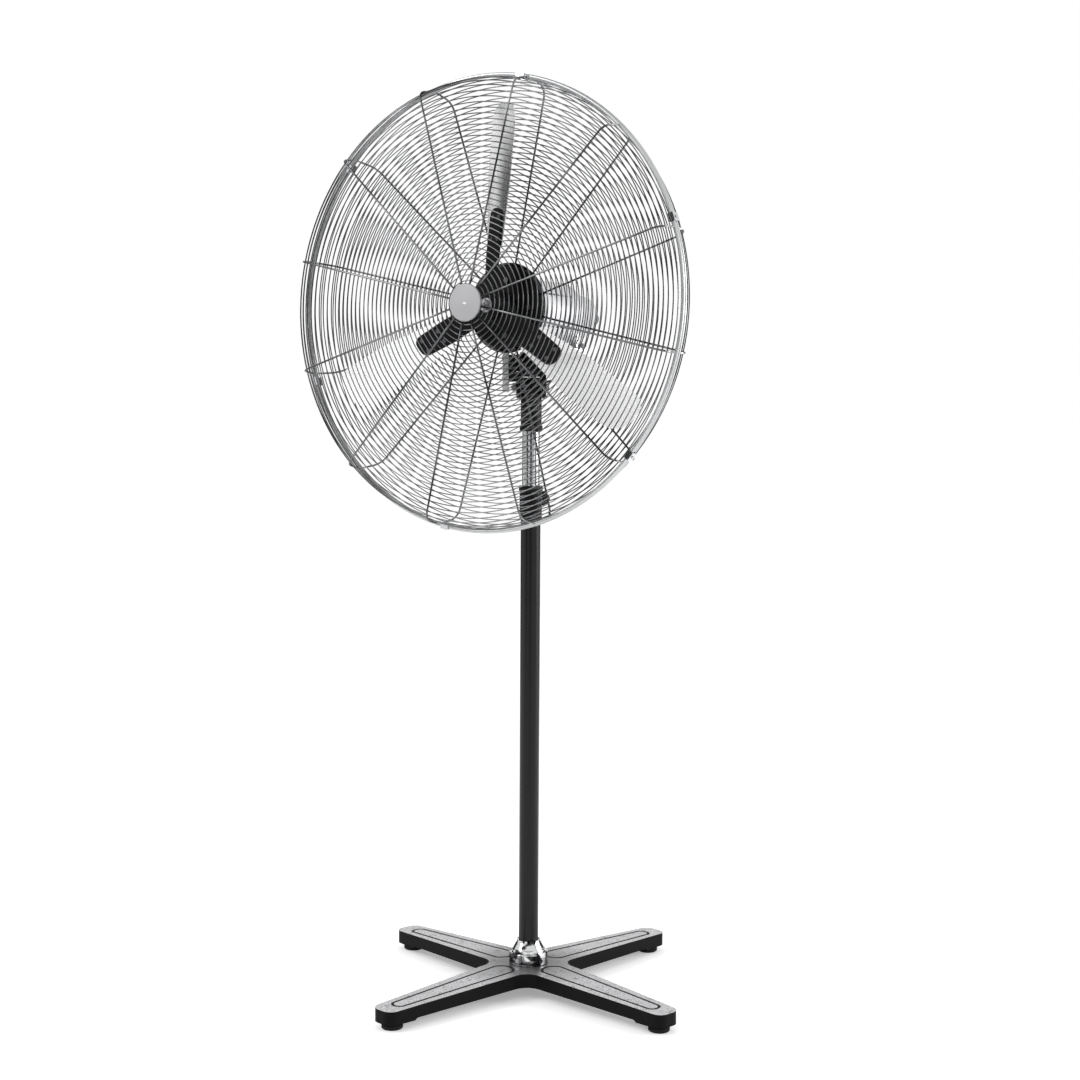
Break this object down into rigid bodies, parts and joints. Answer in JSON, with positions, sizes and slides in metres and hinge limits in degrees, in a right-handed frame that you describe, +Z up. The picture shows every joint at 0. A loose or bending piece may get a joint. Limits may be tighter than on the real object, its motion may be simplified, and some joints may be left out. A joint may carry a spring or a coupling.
{
  "type": "pedestal fan",
  "caption": "Pedestal fan: chromed wire-guarded head with paddle blades that tilts and swings on a telescopic pole, on a cast cross base with rubber feet.",
  "frame": {"origin": "on the floor at the centre of the pole, which is the centre of the base", "axes": "+Z up along the pole; the head looks along -Y at rest; +X is to the right of someone who faces the front of the fan"},
  "size_m": [0.837, 0.7314, 1.738],
  "materials": {
    "cast_black": "satin black casting with polished top faces",
    "rubber": "moulded rubber",
    "steel": "zinc-plated",
    "chrome": "bright plated",
    "black_paint": "satin powder coat",
    "black_plastic": "moulded",
    "grey_plastic": "moulded",
    "badge_metal": "satin",
    "bronze": "sintered",
    "motor_paint": "silver paint",
    "core_steel": "laminated",
    "blade_alloy": "mill finish"
  },
  "bodies": {
    "stand": {"base_casting": "cast_black", "foot_pads": "rubber", "pole_bolt": "steel", "pole_plug": "steel", "base_collar": "chrome", "outer_pole": "black_paint", "clamp_collar": "black_paint", "pole_bush": "grey_plastic"},
    "height_clamp": {"clamp_knob": "black_plastic", "clamp_screw": "steel"},
    "mast": {"sliding_pole": "chrome", "neck": "black_paint", "neck_screws": "steel"},
    "yoke": {"tilt_bracket": "black_paint", "tilt_bolt": "steel", "tilt_nut": "steel", "pivot_bush": "bronze", "anchor_pin": "steel", "lead_gland": "black_plastic", "motor_lead": "black_plastic", "switch_box": "black_plastic", "switch_cover": "grey_plastic", "cover_screws": "steel"},
    "speed_switch": {"speed_knob": "black_plastic"},
    "head": {"saddle": "black_paint", "saddle_bolts": "steel", "motor_body": "motor_paint", "front_cover": "motor_paint", "gear_case": "motor_paint", "case_screws": "steel", "stator": "core_steel", "bearings": "steel", "clamp_plate": "black_paint", "plate_screws": "steel", "lead_boot": "black_plastic", "rear_rings": "chrome", "rear_spokes": "chrome", "front_rings": "chrome", "front_spokes": "chrome", "guard_clips": "chrome", "clip_screws": "steel", "badge": "badge_metal"},
    "rotor": {"motor_shaft": "steel", "rotor_core": "core_steel", "worm": "steel", "blade_spider": "black_paint", "blade_1": "blade_alloy", "blade_2": "blade_alloy", "blade_3": "blade_alloy", "blade_rivets": "steel", "hub_nut": "steel"},
    "crank": {"crank": "steel", "drive_gear": "bronze", "link_clip": "steel"},
    "link": {"drive_link": "steel"},
    "swing_control": {"swing_knob": "black_plastic", "swing_tip": "grey_plastic"}
  },
  "joints": [
    {"name": "height_slide", "type": "slide", "parent": "stand", "child": "mast", "axis": [0, 0, 1], "range_m": [-0.1, 0.24]},
    {"name": "clamp_turn", "type": "hinge", "parent": "stand", "child": "height_clamp", "pos_m": [0, 0, 0.956], "axis": [-0.0349, 0.9994, 0], "range_deg": [0, 540]},
    {"name": "tilt", "type": "hinge", "parent": "mast", "child": "yoke", "pos_m": [0, 0, 1.168], "axis": [-0.848, -0.5299, 0], "range_deg": [-10, 30]},
    {"name": "speed_turn", "type": "hinge", "parent": "yoke", "child": "speed_switch", "pos_m": [-0.01622, -0.04197, 1.2055], "axis": [0.5299, -0.848, 0], "range_deg": [0, 90]},
    {"name": "swing", "type": "hinge", "parent": "yoke", "child": "head", "pos_m": [0, 0, 1.238], "axis": [0, 0, 1], "range_deg": [-13, 77]},
    {"name": "rotor_spin", "type": "hinge", "parent": "head", "child": "rotor", "pos_m": [0, 0, 1.314], "axis": [0, -0.9994, 0.0349], "continuous": true},
    {"name": "crank_turn", "type": "hinge", "parent": "head", "child": "crank", "pos_m": [0.029, 0.105, 1.25], "axis": [0, 0, 1], "range_deg": [-110.12, 18.6]},
    {"name": "link_turn", "type": "hinge", "parent": "crank", "child": "link", "pos_m": [0.04263, 0.11675, 1.2425], "axis": [0, 0, 1], "range_deg": [-18.93, 112.05]},
    {"name": "swing_pull", "type": "slide", "parent": "head", "child": "swing_control", "axis": [0, 0.9994, -0.0349], "range_m": [0, 0.006]}
  ],
  "couplings": [
    {"joint": "crank_turn", "follows": "swing", "ratio": -1.43},
    {"joint": "link_turn", "follows": "swing", "ratio": 1.455}
  ]
}
